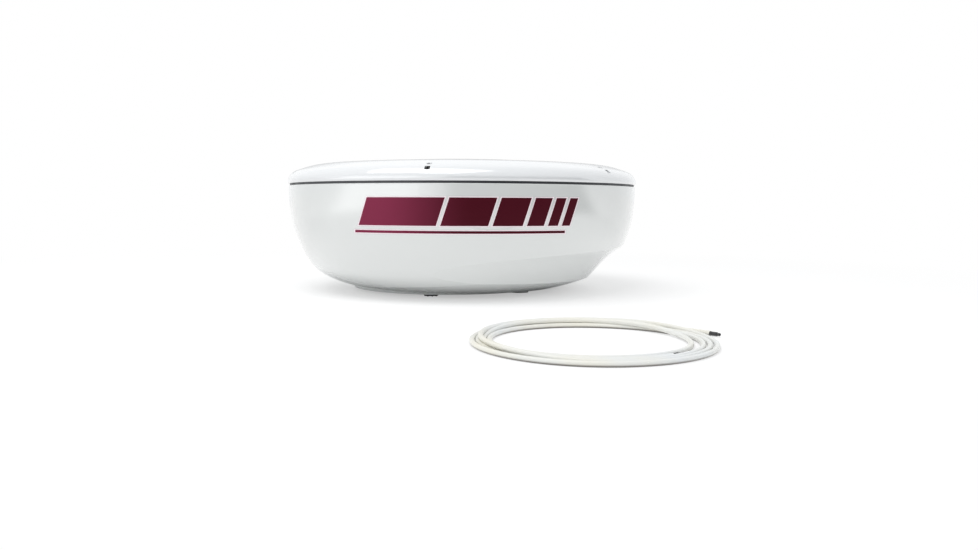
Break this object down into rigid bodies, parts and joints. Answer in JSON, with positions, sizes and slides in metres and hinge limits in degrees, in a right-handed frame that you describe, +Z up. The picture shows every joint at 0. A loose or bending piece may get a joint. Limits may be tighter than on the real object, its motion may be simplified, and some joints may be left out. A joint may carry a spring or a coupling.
{
  "type": "radar dome antenna",
  "caption": "Enclosed marine radar scanner: domed lid over a scooped bowl, belt-driven slotted array turning inside, bolt-down base and a loose coiled cable.",
  "frame": {"origin": "on the scanner's turning axis, in the plane of the four mounting pads", "axes": "+Z up along the turning axis, -X forward, +X aft towards the scooped side, XZ the shells' mirror plane"},
  "size_m": [0.7441, 1.0951, 0.242],
  "materials": {
    "bowl_gelcoat": "glossy moulded shell, cool white",
    "lid_gelcoat": "glossy moulded shell, white",
    "decal_maroon": "cut vinyl film, maroon",
    "decal_edging": "cut vinyl film, pale pink-white",
    "seal_rubber": "soft black seal rubber",
    "insert_brass": "machined brass",
    "black_moulding": "fine spark-eroded black",
    "screw_steel": "blackened stainless fasteners",
    "bright_steel": "ground bearing steel",
    "zinc_screws": "zinc plated fasteners",
    "plated_socket": "nickel plated connector",
    "cast_aluminium": "fine cast and machined",
    "sheet_aluminium": "passivated sheet",
    "board_laminate": "green solder resist",
    "chip_epoxy": "moulded epoxy",
    "capacitor_sleeve": "shrunk sleeve",
    "connector_nylon": "natural nylon",
    "belt_rubber": "toothed neoprene belt",
    "motor_paint": "satin black",
    "magnet_ferrite": "grey painted magnet steel",
    "magnetron_metal": "lacquered copper red",
    "guide_aluminium": "chromated aluminium",
    "array_window": "off-white array cover",
    "loom_jacket": "black loom sleeve",
    "cable_jacket": "ivory cable jacket"
  },
  "bodies": {
    "base": {"base_casing": "bowl_gelcoat", "decal_backing": "decal_edging", "side_decal": "decal_maroon", "mount_inserts": "insert_brass", "lid_inserts": "insert_brass", "seam_gasket": "seal_rubber", "breather_vent": "black_moulding", "cable_socket": "plated_socket", "socket_contacts": "insert_brass", "socket_seal": "seal_rubber", "socket_nut": "plated_socket", "chassis_plate": "sheet_aluminium", "chassis_screws": "zinc_screws", "control_board": "board_laminate", "board_standoffs": "insert_brass", "board_chips": "chip_epoxy", "board_capacitors": "capacitor_sleeve", "board_connectors": "connector_nylon", "bearing_housing": "cast_aluminium", "housing_screws": "zinc_screws", "bearing_outer_races": "bright_steel", "bearing_balls": "bright_steel", "bearing_retainer": "zinc_screws", "drive_belt": "belt_rubber", "drive_motor": "motor_paint", "motor_bridge": "sheet_aluminium", "motor_screws": "zinc_screws", "index_sensor": "black_moulding", "waveguide_run": "guide_aluminium", "circulator": "cast_aluminium", "magnetron": "magnetron_metal", "magnetron_magnet": "magnet_ferrite", "receiver_module": "sheet_aluminium", "modulator_box": "sheet_aluminium", "power_loom": "loom_jacket", "signal_loom": "loom_jacket", "cable_coil": "cable_jacket", "cable_tail": "cable_jacket", "cable_plug_outer": "black_moulding", "cable_plug_inner": "black_moulding"},
    "antenna": {"rotor_spindle": "cast_aluminium", "bearing_inner_races": "bright_steel", "driven_pulley": "cast_aluminium", "index_magnet": "bright_steel", "antenna_bracket": "sheet_aluminium", "rotor_bolts": "zinc_screws", "array_housing": "cast_aluminium", "slotted_guide": "guide_aluminium", "feed_transition": "guide_aluminium", "array_cover": "array_window", "array_end_caps": "black_moulding"},
    "motor_rotor": {"motor_shaft": "bright_steel", "motor_pulley": "cast_aluminium"},
    "lid": {"lid_casing": "lid_gelcoat", "lid_screws": "screw_steel", "lid_washers": "zinc_screws", "screw_retainers": "black_moulding"}
  },
  "joints": [
    {"name": "antenna_spin", "type": "hinge", "parent": "base", "child": "antenna", "pos_m": [0, 0, 0.1], "axis": [0, 0, 1], "continuous": true},
    {"name": "motor_spin", "type": "hinge", "parent": "base", "child": "motor_rotor", "pos_m": [-0.08, -0.104, 0.1], "axis": [0, 0, 1], "continuous": true},
    {"name": "lid_lift", "type": "slide", "parent": "base", "child": "lid", "axis": [0, 0, 1], "range_m": [0, 0.25]}
  ],
  "couplings": [
    {"joint": "motor_spin", "follows": "antenna_spin", "ratio": 5}
  ]
}
